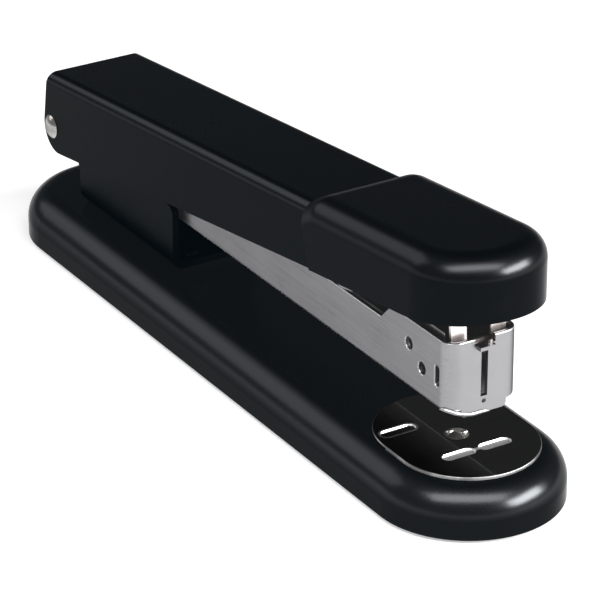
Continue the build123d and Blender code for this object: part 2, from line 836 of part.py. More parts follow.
# Rivets that hold the rail's feet to the floor of the magazine, flush underneath
with BuildPart() as rail_rivets:
    for x, y in rail_rivet_places:
        with BuildSketch(Plane((x, y, 0), x_dir=(1, 0, 0), z_dir=(0, -1, 0))):
            with BuildLine():
                dome = TangentArc(
                    (0, magazine_floor_top + rail_wall + rail_rivet_height),
                    (rail_rivet_head, magazine_floor_top + rail_wall),
                    tangent=(1, 0),
                )
                Polyline(
                    dome @ 1,
                    (rail_rivet_radius, magazine_floor_top + rail_wall),
                    (rail_rivet_radius, magazine_bottom),
                    (0, magazine_bottom),
                    dome @ 0,
                )
            make_face()
        revolve(axis=Axis((x, y, 0), (0, 0, 1)))
rail_rivets.part.label = "rail_rivets"
export_step(rail_rivets.part, "parts/rail_rivets.step")

# Stop plate at the rear of the rail, for the rod and the pusher spring
with BuildPart() as rod_stop:
    with BuildSketch(Plane.YZ.offset(rod_stop_x)):
        with Locations((0, magazine_floor_top)):
            Rectangle(
                rail_width - 2 * rail_wall - 2 * running_fit,
                rail_top - rail_wall - magazine_floor_top - running_fit,
                align=(Align.CENTER, Align.MIN),
            )
        with Locations((0, rod_z)):
            Circle(rod_radius, mode=Mode.SUBTRACT)
    extrude(amount=-rod_stop_thickness)
rod_stop.part.label = "rod_stop"
export_step(rod_stop.part, "parts/rod_stop.step")

# Guide rod from the stop plate to the closed front of the rail
with BuildPart() as guide_rod:
    with BuildSketch(Plane.YZ.offset(rod_stop_x - rod_stop_thickness)):
        with Locations((0, rod_z)):
            Circle(rod_radius)
    extrude(amount=rail_front - rod_stop_x + rod_stop_thickness)
guide_rod.part.label = "guide_rod"
export_step(guide_rod.part, "parts/guide_rod.step")

# Pusher: a saddle on the rail, with a tongue through the slot and an eye on the rod
pusher_seat = rail_top + slide_gap
pusher_skirt_low = magazine_floor_top + pusher_skirt_foot
with BuildPart() as pusher:
    with BuildSketch(Plane.YZ.offset(pusher_rear)):
        with Locations((0, pusher_skirt_low)):
            Rectangle(
                pusher_width,
                pusher_seat + pusher_roof - pusher_skirt_low,
                align=(Align.CENTER, Align.MIN),
            )
            Rectangle(
                pusher_inside,
                pusher_seat - pusher_skirt_low,
                align=(Align.CENTER, Align.MIN),
                mode=Mode.SUBTRACT,
            )
    extrude(amount=pusher_length)
    with BuildSketch(Plane.YZ.offset(pusher_rear)):
        with Locations((0, rod_z)):
            Rectangle(
                pusher_tongue_width, pusher_seat - rod_z, align=(Align.CENTER, Align.MIN)
            )
            Circle(pusher_eye_radius)
            Circle(rod_radius + slide_gap, mode=Mode.SUBTRACT)
    extrude(amount=pusher_eye_length)
pusher.part.label = "pusher"
export_step(pusher.part, "parts/pusher.step")

# Pusher spring: a long coil on the rod, between the stop plate and the pusher's eye
pusher_spring_radius = rod_radius + spring_gap + pusher_spring_wire
pusher_spring_rear = rod_stop_x + seat_gap + pusher_spring_wire
pusher_spring_length = pusher_rear - seat_gap - pusher_spring_wire - pusher_spring_rear
with BuildPart() as pusher_spring:
    with BuildLine() as pusher_coil:
        Helix(
            pusher_spring_length / pusher_spring_turns,
            pusher_spring_length,
            pusher_spring_radius,
            center=(pusher_spring_rear, 0, rod_z),
            direction=(1, 0, 0),
        )
    with BuildSketch(Plane(pusher_coil.line @ 0, z_dir=pusher_coil.line % 0)):
        RegularPolygon(pusher_spring_wire, wire_sides)
    sweep(path=pusher_coil.line, is_frenet=True)
pusher_spring.part.label = "pusher_spring"
export_step(pusher_spring.part, "parts/pusher_spring.step")

# Driver: a hardened blade that leans with its swing, its top folded back under the tongue
driver_front_at_foot = nose_front - driver_setback
driver_foot = rail_top + driver_rest_height
driver_middle = driver_front_at_foot - driver_thickness / 2
driver_sink = handle_wall + seat_gap + driver_thickness / 2
driver_fold_x = driver_middle - tan(radians(driver_lean)) * (
    handle_top(driver_middle) - driver_sink - driver_foot
)
with BuildPart() as driver_blade:
    with BuildSketch(Plane.XZ):
        with BuildLine():
            FilletPolyline(
                (driver_middle, driver_foot),
                (driver_fold_x, handle_top(driver_fold_x) - driver_sink),
                (
                    driver_fold_x - driver_flange,
                    handle_top(driver_fold_x - driver_flange) - driver_sink,
                ),
                radius=driver_fold_radius,
            )
        trace(line_width=driver_thickness)
    extrude(amount=driver_width / 2, both=True)
    with BuildSketch(Plane.YZ.offset(driver_front_at_foot)):
        with Locations((0, nose_top + driver_window_rise)):
            Rectangle(
                driver_window_width,
                driver_window_height,
                align=(Align.CENTER, Align.MIN),
            )
    extrude(amount=-driver_window_cut, mode=Mode.SUBTRACT)
    with BuildSketch(tongue_plane):
        with Locations(*driver_rivet_places):
            Circle(driver_rivet_radius)
    extrude(amount=-handle_wall - 2 * driver_thickness, mode=Mode.SUBTRACT)
driver_blade.part.label = "driver_blade"
export_step(driver_blade.part, "parts/driver_blade.step")

# Rivets that hold the driver to the tongue, flush on top so that the cap lies flat
driver_rivet_grip = handle_wall + seat_gap + driver_thickness
with BuildPart() as driver_rivets:
    for x, y in driver_rivet_places:
        place = tongue_plane.from_local_coords((x, y, 0))
        with BuildSketch(Plane(place, x_dir=tongue_plane.x_dir, z_dir=(0, 1, 0))):
            with BuildLine():
                dome = TangentArc(
                    (0, driver_rivet_grip + driver_rivet_height),
                    (driver_rivet_head, driver_rivet_grip),
                    tangent=(1, 0),
                )
                Polyline(
                    dome @ 1,
                    (driver_rivet_radius, driver_rivet_grip),
                    (driver_rivet_radius, 0),
                    (0, 0),
                    dome @ 0,
                )
            make_face()
        revolve(axis=Axis(place, tongue_plane.z_dir))
driver_rivets.part.label = "driver_rivets"
export_step(driver_rivets.part, "parts/driver_rivets.step")

# Return spring: a forked leaf under the handle, its prongs on the walls of the magazine
return_heel = wall_front - return_heel_setback
return_bend = return_heel + return_heel_length
return_toe = return_bend + return_reach
return_sink = handle_wall + seat_gap + return_thickness / 2
return_toe_z = magazine_top + seat_gap + return_thickness / 2
with BuildPart() as return_spring:
    with BuildSketch(Plane.XZ):
        with BuildLine():
            FilletPolyline(
                (return_heel, handle_top(return_heel) - return_sink),
                (return_bend, handle_top(return_bend) - return_sink),
                (return_toe, return_toe_z),
                (return_toe + return_toe_length, return_toe_z + return_toe_rise),
                radius=return_bend_radius,
            )
        trace(line_width=return_thickness)
    extrude(amount=return_width / 2, both=True)
    with BuildSketch(Plane.XY):
        with Locations((return_bend + return_web, 0)):
            Rectangle(return_toe, return_fork_gap, align=(Align.MIN, Align.CENTER))
    extrude(amount=handle_top(return_toe), mode=Mode.SUBTRACT)
return_spring.part.label = "return_spring"
export_step(return_spring.part, "parts/return_spring.step")
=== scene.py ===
import json
import math

import bmesh
import bpy
import numpy as np
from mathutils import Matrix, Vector


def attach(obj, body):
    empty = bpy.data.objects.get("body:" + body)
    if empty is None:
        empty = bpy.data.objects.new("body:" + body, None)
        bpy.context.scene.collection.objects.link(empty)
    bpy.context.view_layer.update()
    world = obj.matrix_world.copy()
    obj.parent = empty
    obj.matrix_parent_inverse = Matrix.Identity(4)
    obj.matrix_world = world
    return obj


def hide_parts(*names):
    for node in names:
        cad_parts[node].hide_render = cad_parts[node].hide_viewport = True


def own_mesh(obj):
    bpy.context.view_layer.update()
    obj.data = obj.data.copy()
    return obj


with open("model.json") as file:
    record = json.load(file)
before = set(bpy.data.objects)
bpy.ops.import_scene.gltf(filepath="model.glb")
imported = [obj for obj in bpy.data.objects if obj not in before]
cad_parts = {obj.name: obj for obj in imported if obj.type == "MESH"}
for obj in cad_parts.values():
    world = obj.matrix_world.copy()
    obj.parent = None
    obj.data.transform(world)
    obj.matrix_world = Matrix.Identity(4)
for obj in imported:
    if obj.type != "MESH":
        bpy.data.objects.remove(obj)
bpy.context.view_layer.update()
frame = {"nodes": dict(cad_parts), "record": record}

# Desk stapler: finishes, small formed details, floor, lights and camera, in metres
nodes = frame["nodes"]
print("frame loaded:", len(nodes), "nodes")


class Sock:  # a node's output, with maths: each operator adds one Math node
    def __init__(self, shader, socket):
        self.shader = shader
        self.socket = socket

    def maths(self, operation, first, second):  # one Math node on two values or links
        return self.shader.node("ShaderNodeMath", {"operation": operation}, {0: first, 1: second})

    def __add__(self, other):
        return self.maths("ADD", self, other)

    def __sub__(self, other):
        return self.maths("SUBTRACT", self, other)

    def __rsub__(self, other):
        return self.maths("SUBTRACT", other, self)

    def __mul__(self, other):
        return self.maths("MULTIPLY", self, other)

    def __gt__(self, other):
        return self.maths("GREATER_THAN", self, other)

    def __lt__(self, other):
        return self.maths("LESS_THAN", self, other)

    def __abs__(self):
        return self.maths("ABSOLUTE", self, 0.0)

    def over(self, least):  # never less than the given value
        return self.maths("MAXIMUM", self, least)

    __radd__ = __add__
    __rmul__ = __mul__


edgeLimits = {  # ends of the ramps of the painted highlight masks, which pick edges by the tilt of their normal, as shares of the normal
    "leavesWall": (0.10, 0.42), "levelTop": (0.80, 0.96), "levelUnder": (0.985, 0.998),
    "facesBack": (-0.4, -0.1),
}


class Shader:  # one procedural material
    def __init__(self, name):
        self.material = bpy.data.materials.new(name)
        self.material.use_nodes = True
        self.tree = self.material.node_tree
        self.tree.nodes.clear()
        self.place = self.node("ShaderNodeTexCoord", {}, {}, "Object")

    def node(self, kind, settings, inputs, output=0):  # settings first, then values or links
        made = self.tree.nodes.new(kind)
        for key, value in settings.items():
            setattr(made, key, value)
        for key, value in inputs.items():
            if isinstance(value, Sock):
                self.tree.links.new(value.socket, made.inputs[key])
            else:
                made.inputs[key].default_value = value
        return Sock(self, made.outputs[output]) if made.outputs else made

    def stretched(self, scale):  # object coordinates, scaled axis by axis
        return self.node("ShaderNodeMapping", {}, {"Vector": self.place, "Scale": scale})

    def noise(self, size, detail=2.0, rough=0.5, vector=None):  # size of one patch, in metres
        return self.node("ShaderNodeTexNoise", {}, {
            "Vector": vector or self.place, "Scale": 1.0 / size, "Detail": detail, "Roughness": rough})

    def ramp(self, factor, low, high):  # 0 below low, 1 above high
        return self.node("ShaderNodeMapRange", {"clamp": True}, {
            "Value": factor, "From Min": low, "From Max": high, "To Min": 0.0, "To Max": 1.0})

    def mix(self, factor, first, second):  # the first colour at 0, the second at 1
        return self.node("ShaderNodeMix", {"data_type": "RGBA"}, {0: factor, 6: first, 7: second}, 2)

    def axis(self, name, output="Object"):  # one axis of the object's own coordinates or normal
        place = self.node("ShaderNodeTexCoord", {}, {}, output)
        return self.node("ShaderNodeSeparateXYZ", {}, {0: place}, name)

    def paintedSheenEdges(self):
        # painted highlight mask: 1 on edges tilted between wall and level top that do not face back, so they
        # mirror the lamps more strongly; 0 on walls, on level tops and on what faces back
        up = self.axis("Z", "Normal")
        forward = self.axis("X", "Normal")
        return (self.ramp(up, *edgeLimits["leavesWall"]) * (1.0 - self.ramp(up, *edgeLimits["levelTop"]))
                * self.ramp(forward, *edgeLimits["facesBack"]))

    def paintedFloorGleam(self):
        # painted reflection mask: 1 on edges tilted down, so they mirror the pale floor more strongly; 0 on
        # walls and on level undersides
        down = 0.0 - self.axis("Z", "Normal")
        return self.ramp(down, *edgeLimits["leavesWall"]) * (1.0 - self.ramp(down, *edgeLimits["levelUnder"]))

    def bump(self, height, distance, strength=1.0):  # a height of 1 stands out by the distance, in metres
        return self.node("ShaderNodeBump", {}, {"Height": height, "Distance": distance, "Strength": strength})

    def finish(self, **inputs):  # constants sit on the shader's own sockets
        sockets = {key.replace("_", " "): value for key, value in inputs.items()}
        surface = self.node("ShaderNodeBsdfPrincipled", {}, sockets)
        self.node("ShaderNodeOutputMaterial", {}, {"Surface": surface})
        return self.material


def grey(value, tint=(1.0, 1.0, 1.0)):  # an opaque colour: one value times a tint
    return tuple(value * t for t in tint) + (1.0,)


noiseMiddle = 0.5  # the value that a noise varies about

# colours are the share of light mirrored face on; edge tints it at a grazing angle; the faint glow is painted
# light, which lifts the dark of shaded faces
enamelSettings = {
    "black": grey(0.0045, (0.94, 1.0, 1.07)),
    # the pale edge colour is painted highlight: a stronger mirror on tilted edges
    "paintedHighlight": grey(0.034, (0.96, 1.0, 1.05)),
    "dusty": grey(0.009),
    "edge": grey(0.58),
    "paintedGlow": (0.0012, 0.0030, 0.0044, 1.0),
    "roughness": 0.24, "cloudRough": 0.10, "dustRough": 0.12,
    "peelSize": 0.0011, "peelHeight": 0.0000025,
    "cloudSize": 0.03, "cloudLimits": (0.4, 0.7),
    "dustSize": 0.00035, "dustLimits": (0.60, 0.78),
}


def blackEnamel(name, settings):
    # black paint: a painted highlight makes tilted edges that do not face back mirror more strongly; orange
    # peel raises the bump, broad clouds change the gloss, fine dust lightens and dulls it, and a painted glow
    # lifts its shade
    shader = Shader(name)
    peel = shader.noise(settings["peelSize"], detail=1.0)
    cloud = shader.noise(settings["cloudSize"], detail=3.0)
    specks = shader.noise(settings["dustSize"], rough=0.6)
    dust = shader.ramp(specks, *settings["dustLimits"]) * shader.ramp(cloud, *settings["cloudLimits"])
    paint = shader.mix(dust, settings["black"], settings["dusty"])
    return shader.finish(
        Base_Color=shader.mix(shader.paintedSheenEdges(), paint, settings["paintedHighlight"]),
        Metallic=1.0, Specular_Tint=settings["edge"],
        Emission_Color=settings["paintedGlow"], Emission_Strength=1.0,
        Roughness=(settings["roughness"] + settings["cloudRough"] * (cloud - noiseMiddle)
                   + settings["dustRough"] * dust),
        Normal=shader.bump(peel, settings["peelHeight"]))


capSettings = {
    "black": grey(0.0042, (0.95, 1.0, 1.06)),
    # the pale edge colour is painted highlight: a stronger mirror on tilted edges
    "paintedHighlight": grey(0.028, (0.97, 1.0, 1.04)),
    "worn": grey(0.007),
    "edge": grey(0.585),
    "paintedGlow": (0.0024, 0.0040, 0.0056, 1.0),
    "roughness": 0.27, "flowRough": 0.06, "rubbedGloss": 0.05, "backRough": 0.55,
    "grainSize": 0.00022, "grainHeight": 0.0000006,
    "flowSize": 0.012, "flowStretch": (0.4, 1.0, 1.0),
    "rubbedSize": 0.02, "rubbedLimits": (0.55, 0.75), "rubbedShare": 0.5,
    "backLimits": (-0.6, -0.2),
}


def mouldedCap(name, settings):
    # moulded black plastic: fine spark grain, faint flow clouds and rubbed patches; what faces back is matt;
    # a painted highlight makes tilted edges mirror more strongly, and a painted glow lifts its shade
    shader = Shader(name)
    grain = shader.noise(settings["grainSize"], rough=0.6)
    flow = shader.noise(settings["flowSize"], vector=shader.stretched(settings["flowStretch"]))
    patches = shader.noise(settings["rubbedSize"], detail=4.0, rough=0.6)
    rubbed = shader.ramp(patches, *settings["rubbedLimits"])
    facesBack = 1.0 - shader.ramp(shader.axis("X", "Normal"), *settings["backLimits"])
    plastic = shader.mix(rubbed * settings["rubbedShare"], settings["black"], settings["worn"])
    return shader.finish(
        Base_Color=shader.mix(shader.paintedSheenEdges(), plastic, settings["paintedHighlight"]),
        Metallic=1.0, Specular_Tint=settings["edge"],
        Emission_Color=settings["paintedGlow"], Emission_Strength=1.0,
        Roughness=(settings["roughness"] + settings["flowRough"] * (flow - noiseMiddle)
                   - settings["rubbedGloss"] * rubbed + settings["backRough"] * facesBack),
        Normal=shader.bump(grain, settings["grainHeight"]))


rubberSettings = {
    "dark": grey(0.010), "bloom": grey(0.022, (1.0, 0.99, 0.97)), "roughness": 0.74, "grainRough": 0.12,
    "grainSize": 0.0003, "grainHeight": 0.00002, "grainStrength": 0.6,
    "bloomSize": 0.014, "bloomLimits": (0.42, 0.7), "bloomShare": 0.7, "specular": 0.3,
}


def padRubber(name, settings):
    # matt rubber: fine grain with a pale bloom in clouds
    shader = Shader(name)
    grain = shader.noise(settings["grainSize"], detail=3.0, rough=0.65)
    clouds = shader.noise(settings["bloomSize"], detail=4.0, rough=0.6)
    bloom = shader.ramp(clouds, *settings["bloomLimits"])
    return shader.finish(
        Base_Color=shader.mix(bloom * settings["bloomShare"], settings["dark"], settings["bloom"]),
        Roughness=settings["roughness"] + settings["grainRough"] * (grain - noiseMiddle),
        Specular_IOR_Level=settings["specular"],
        Normal=shader.bump(grain, settings["grainHeight"], settings["grainStrength"]))


sheetSettings = {  # what all drawn metals share
    "endLimits": (0.5, 0.9), "toneLimits": (0.3, 0.7), "lineShare": 0.6, "cloudShare": 0.4,
    "cloudSize": 0.011,
    "markSize": 0.0035, "markStretch": (0.35, 1.0, 1.0), "markLimits": (0.58, 0.75),
    "lineRough": 0.14, "cloudRough": 0.08, "markRough": 0.07,
}


def drawnMetal(name, settings):
    # rolled and drawn metal: lines run along the stretched axes and fade on faces square to X, clouds
    # and handling marks change the gloss; a painted highlight brightens edges tilted up or down, and a
    # painted glow lifts its shade
    shader = Shader(name)
    sheet = sheetSettings
    along = shader.stretched(settings["stretch"])
    brushed = shader.noise(settings["lineSize"], detail=3.0, rough=0.6, vector=along)
    endOn = shader.ramp(abs(shader.axis("X", "Normal")), *sheet["endLimits"])
    lines = noiseMiddle + (brushed - noiseMiddle) * (1.0 - settings["endFade"] * endOn)
    cloud = shader.noise(sheet["cloudSize"], detail=3.0, rough=0.55)
    wiped = shader.stretched(sheet["markStretch"])
    handled = shader.noise(sheet["markSize"], detail=5.0, rough=0.7, vector=wiped)
    marks = shader.ramp(handled, *sheet["markLimits"])
    tone = shader.ramp(lines * sheet["lineShare"] + cloud * sheet["cloudShare"], *sheet["toneLimits"])
    metal = shader.mix(tone, settings["dark"], settings["light"])
    # painted highlight on edges tilted up, and painted reflection of the floor on edges tilted down
    paintedHighlight = shader.paintedSheenEdges() + shader.paintedFloorGleam()
    return shader.finish(
        Base_Color=shader.mix(paintedHighlight * settings["paintedEdgeShare"], metal, settings["paintedEdgeTone"]),
        Metallic=1.0, Specular_Tint=settings["edge"],
        Emission_Color=settings["paintedGlow"], Emission_Strength=1.0,
        Roughness=(settings["roughness"] + sheet["lineRough"] * (lines - noiseMiddle)
                   + sheet["cloudRough"] * (cloud - noiseMiddle) + sheet["markRough"] * marks),
        Normal=shader.bump(lines, settings["lineHeight"]))


# in each metal, the pale edge colour and its share paint highlight on tilted edges, and the faint glow is
# painted light
nickelSettings = {
    "dark": grey(0.22, (1.0, 0.985, 1.02)), "light": grey(0.295, (1.0, 0.985, 1.025)), "edge": grey(0.15),
    "paintedEdgeTone": grey(0.85), "paintedEdgeShare": 0.9, "endFade": 0.85, "paintedGlow": grey(0.0105),
    "roughness": 0.30, "lineSize": 0.0006, "stretch": (0.03, 1.0, 1.0), "lineHeight": 0.0000012,
}
springSettings = {
    "dark": grey(0.20, (0.97, 1.0, 1.05)), "light": grey(0.32, (0.98, 1.0, 1.03)), "edge": grey(0.4),
    "paintedEdgeTone": grey(0.45), "paintedEdgeShare": 0.5, "endFade": 0.3, "paintedGlow": grey(0.006),
    "roughness": 0.28, "lineSize": 0.0005, "stretch": (0.05, 1.0, 0.05), "lineHeight": 0.0000012,
}
driverSettings = {
    "dark": grey(0.62, (1.0, 0.90, 0.86)), "light": grey(0.78, (1.0, 0.93, 0.90)), "edge": grey(0.6),
    "paintedEdgeTone": grey(0.85), "paintedEdgeShare": 0.3, "endFade": 0.0, "paintedGlow": grey(0.006),
    "roughness": 0.34, "lineSize": 0.0006, "stretch": (1.0, 1.0, 0.05), "lineHeight": 0.0000010,
}
rivetSettings = {
    "dark": grey(0.30, (1.0, 0.98, 0.95)), "light": grey(0.42, (1.0, 0.99, 0.97)), "edge": grey(0.4),
    "paintedEdgeTone": grey(0.70, (1.0, 0.95, 0.90)), "paintedEdgeShare": 0.8, "endFade": 0.0, "paintedGlow": grey(0.004),
    "roughness": 0.24, "lineSize": 0.0008, "stretch": (1.0, 1.0, 1.0), "lineHeight": 0.000004,
}
studSettings = dict(
    rivetSettings, dark=grey(0.80, (1.0, 0.98, 0.94)), light=grey(0.92, (1.0, 0.98, 0.95)), roughness=0.19,
    lineHeight=0.000001)
anvilSettings = {  # metres, in the part's own frame
    "dark": grey(0.11, (0.98, 1.0, 1.02)), "light": grey(0.15, (0.99, 1.0, 1.01)), "edge": grey(0.3),
    "struck": grey(0.82, (1.0, 0.985, 0.99)), "struckRough": 0.42,
    "roughness": 0.045, "smudgeRough": 0.05, "smudgeSize": 0.006, "smudgeLimits": (0.45, 0.75),
    "lineSize": 0.0007, "stretch": (1.0, 0.06, 1.0), "lineHeight": 0.0000003,
    "face": 0.0123, "faceDepth": (0.00008, 0.00001),
    "middle": 0.0705, "straight": 0.0036, "endRadius": 0.0154, "rimWidth": 0.0006,
    "rim": grey(0.38), "rimWorn": grey(0.20), "wornSize": 0.005, "wornLimits": (0.42, 0.58),
    "crimpRow": 0.0780, "pinch": (0.0005, 0.0008),
    "pinFloor": 0.01197, "pinFront": 0.0675, "pinRow": 0.0630, "pinMiddle": 0.0094, "pinStraight": 0.0028,
    "pinRim": (0.00135, 0.00185), "pinRimShare": 0.6,
}


def polishedAnvil(name, settings):
    # dark mirror polish on the face and on the floor of the pinning grooves; the rim and the other
    # struck metal below the face are pale and satin, as are the burr round the pinning grooves and
    # the shallow pinch that joins the crimping grooves; a burr or rim lies where the squared distance
    # from the middle line of its slot or plate is within its limits
    shader = Shader(name)
    across = shader.stretched(settings["stretch"])
    lines = shader.noise(settings["lineSize"], detail=3.0, rough=0.6, vector=across)
    fingers = shader.noise(settings["smudgeSize"], detail=4.0, rough=0.6)
    smudge = shader.ramp(fingers, *settings["smudgeLimits"])
    x, y, z = (shader.axis(axisName) for axisName in "XYZ")
    lowFace, highFace = (settings["face"] - depth for depth in settings["faceDepth"])
    below = 1.0 - shader.ramp(z, lowFace, highFace)
    pinFloor = (z < settings["pinFloor"]) * (x < settings["pinFront"])
    halfLength, halfWidth = settings["pinch"]
    pinch = (abs(x - settings["crimpRow"]) < halfLength) * (abs(y) < halfWidth) * (z > lowFace)
    fromMiddle = abs(abs(y) - settings["pinMiddle"])
    pastSlot = fromMiddle.over(settings["pinStraight"]) - settings["pinStraight"]
    fromRow = x - settings["pinRow"]
    fromSlot = fromRow * fromRow + pastSlot * pastSlot
    rimInner, rimOuter = settings["pinRim"]
    pinRim = (fromSlot > rimInner * rimInner) * (fromSlot < rimOuter * rimOuter) * (1.0 - below)
    struck = below * (1.0 - pinFloor) + pinch + pinRim * settings["pinRimShare"]
    pastStraight = abs(x - settings["middle"]).over(settings["straight"]) - settings["straight"]
    rimStart = settings["endRadius"] - settings["rimWidth"]
    onRim = pastStraight * pastStraight + y * y > rimStart * rimStart
    wear = shader.noise(settings["wornSize"], detail=3.0, rough=0.6)
    worn = shader.ramp(wear, *settings["wornLimits"])
    rim = shader.mix(worn, settings["rim"], settings["rimWorn"])
    face = shader.mix(lines, settings["dark"], settings["light"])
    rougher = settings["struckRough"] - settings["roughness"]
    return shader.finish(
        Base_Color=shader.mix(struck, face, shader.mix(onRim, settings["struck"], rim)),
        Metallic=1.0, Specular_Tint=settings["edge"],
        Roughness=settings["roughness"] + settings["smudgeRough"] * smudge + rougher * struck,
        Normal=shader.bump(lines, settings["lineHeight"]))


buttonSettings = dict(capSettings, roughness=0.42, grainHeight=0.000004)
# the base gets a stronger painted glow, which lifts the shade on its top
baseSettings = dict(enamelSettings, paintedGlow=(0.0050, 0.0066, 0.0080, 1.0))

finishes = {
    "black_paint": blackEnamel("blackEnamel", enamelSettings),
    "cap_plastic": mouldedCap("mouldedCap", capSettings),
    "button_plastic": mouldedCap("mouldedButton", buttonSettings),
    "pad_rubber": padRubber("padRubber", rubberSettings),
    "nickel_steel": drawnMetal("satinNickel", nickelSettings),
    "bright_plate": polishedAnvil("brightNickel", anvilSettings),
    "spring_steel": drawnMetal("springSteel", springSettings),
    "rivet_steel": drawnMetal("rivetZinc", rivetSettings),
}
for part in frame["record"]["subparts"]:
    for slot in nodes[part["node"]].material_slots:
        slot.material = finishes[part["material_slot"]]
nodes["driver_blade"].material_slots[0].material = drawnMetal("groundDriver", driverSettings)
nodes["anvil_stud"].material_slots[0].material = drawnMetal("polishedStud", studSettings)
nodes["base_shell"].material_slots[0].material = blackEnamel("baseEnamel", baseSettings)
nodes["bracket_rivets"].material_slots[0].material = finishes["black_paint"]  # painted with the bracket
print("finishes set:", len(finishes))


def tubePiece(name, rings, finish, body):
    # a closed tube: rings of points joined in rows, with a flat cap at each end
    rows, columns = rings.shape[:2]
    row, column = np.meshgrid(np.arange(rows - 1), np.arange(columns), indexing="ij")
    beside = (column + 1) % columns
    faces = np.stack([row * columns + column, row * columns + beside,
                      (row + 1) * columns + beside, (row + 1) * columns + column], axis=-1).reshape(-1, 4)
    caps = [list(range(columns - 1, -1, -1)), list(range((rows - 1) * columns, rows * columns))]
    mesh = bpy.data.meshes.new(name)
    mesh.from_pydata(rings.reshape(-1, 3).tolist(), [], faces.tolist() + caps)
    mesh.materials.append(finish)
    piece = bpy.data.objects.new(name, mesh)
    bpy.context.scene.collection.objects.link(piece)
    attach(piece, body)
    return piece


bothSides = (("left", 1.0), ("right", -1.0))  # a side's name and its sign along Y

linerSettings = {  # metres; the side plates that guide the staples, just inside the nose's walls
    "rear": 0.0600, "front": 0.0760, "inner": 0.00678, "outer": 0.00722,
    "low": 0.0300, "high": 0.0396, "slope": 0.0040, "edge": 0.00012,
    "columns": 32, "rows": 9, "square": 0.25,
}


def noseLiner(name, side, settings):
    # a thin plate: the squared-off ring of a sheet's section, swept up its height while its rear edge
    # slopes forward; its first and last ring shrink by the edge's rounding
    around, up = np.meshgrid(np.linspace(0.0, 2.0 * np.pi, settings["columns"] + 1)[:-1],
                             np.linspace(0.0, 1.0, settings["rows"]))
    along = np.sign(np.cos(around)) * np.abs(np.cos(around)) ** settings["square"]
    across = np.sign(np.sin(around)) * np.abs(np.sin(around)) ** settings["square"]
    rear = settings["rear"] + settings["slope"] * up
    shrink = settings["edge"] * ((up == 0.0) | (up == 1.0))
    x = (rear + settings["front"]) / 2 + along * ((settings["front"] - rear) / 2 - shrink)
    middle = (settings["outer"] + settings["inner"]) / 2
    half = (settings["outer"] - settings["inner"]) / 2
    y = side * middle + across * (half - shrink)
    z = settings["low"] + (settings["high"] - settings["low"]) * up
    tubePiece(name, np.stack([x, y, z], axis=-1), finishes["nickel_steel"], "magazine")


for sideName, side in bothSides:
    noseLiner("nose_liner_" + sideName, side, linerSettings)

beadSettings = {  # metres; the rolled lower lip of the nose, from its corner at -Y to past the middle
    "cornerX": 0.07675, "cornerY": -0.0054, "radius": 0.0032, "past": 0.0015,
    "start": 0.0232, "drop": 0.0017, "dropFrom": 0.0010, "dropOver": 0.0070,
    "thick": 0.0005, "taperIn": 0.0015, "taperOut": 0.0020, "leastFade": 0.02, "rows": 49, "columns": 16,
}


def noseBead(name, settings):
    # a round bead: a quarter turn round the corner and then straight across; its lower edge sinks by a
    # smooth step, 3t^2 - 2t^3, and its thickness fades by a square root towards both ends
    bend = settings["radius"] * math.pi / 2
    length = bend + settings["past"] - settings["cornerY"]
    run = np.linspace(0.0, length, settings["rows"])
    turn = np.clip(run / settings["radius"], 0.0, math.pi / 2)
    outward = np.stack([np.sin(turn), -np.cos(turn), np.zeros_like(turn)], axis=-1)
    step = np.clip((run - settings["dropFrom"]) / settings["dropOver"], 0.0, 1.0)
    fadeIn = np.clip(run / settings["taperIn"], settings["leastFade"], 1.0)
    fadeOut = np.clip((length - run) / settings["taperOut"], settings["leastFade"], 1.0)
    thick = settings["thick"] * np.sqrt(fadeIn * fadeOut)
    middle = outward * settings["radius"]
    middle[:, 0] += settings["cornerX"]
    middle[:, 1] += settings["cornerY"] + np.clip(run - bend, 0.0, None)
    middle[:, 2] = settings["start"] - settings["drop"] * step * step * (3.0 - 2.0 * step) + thick
    around = np.linspace(0.0, 2.0 * np.pi, settings["columns"] + 1)[:-1]
    up = np.array([0.0, 0.0, 1.0])
    ring = np.cos(around)[None, :, None] * outward[:, None] - np.sin(around)[None, :, None] * up
    bead = tubePiece(name, middle[:, None] + thick[:, None, None] * ring, finishes["nickel_steel"],
                     "magazine")
    bead.data.shade_smooth()


noseBead("nose_bead", beadSettings)
print("nose pieces made")

tipSettings = {  # metres; the two turned-over tips on the anvil's stud
    "middle": (0.0707, 0.0, 0.01272), "apart": (0.0009, 0.00115, 0.0),
    "half": (0.00052, 0.00100, 0.00062), "rows": 17, "columns": 24, "endAngle": 0.03,
}


def studTip(name, side, settings):
    # an ellipsoid: rings whose width is the cosine of their angle, at a height that is its sine
    limit = math.pi / 2 - settings["endAngle"]
    around, lift = np.meshgrid(np.linspace(0.0, 2.0 * np.pi, settings["columns"] + 1)[:-1],
                               np.linspace(-limit, limit, settings["rows"]))
    ball = np.stack([np.cos(lift) * np.cos(around), np.cos(lift) * np.sin(around), np.sin(lift)], axis=-1)
    middle = np.array(settings["middle"]) + side * np.array(settings["apart"])
    tip = tubePiece(name, middle + ball * np.array(settings["half"]), finishes["rivet_steel"],
                    "anvil_release")
    tip.data.shade_smooth()


for sideName, side in bothSides:
    studTip("stud_tip_" + sideName, side, tipSettings)
print("stud tips made")

# coils copied onto their bodies, with their joint, its axis, the end that stays, the low end, 0, or the high
# end, 1, and the joint's travel in metres; only the body is read here
coilSettings = {
    "pusher_spring": {
        "body": "magazine", "joint": "pusher_slide", "axis": (1.0, 0.0, 0.0), "stays": 0, "travel": 0.110},
    "anvil_spring": {
        "body": "base", "joint": "anvil_lift", "axis": (0.0, 0.0, 1.0), "stays": 1, "travel": 0.001},
}
mergeDistance = 1e-7  # metres


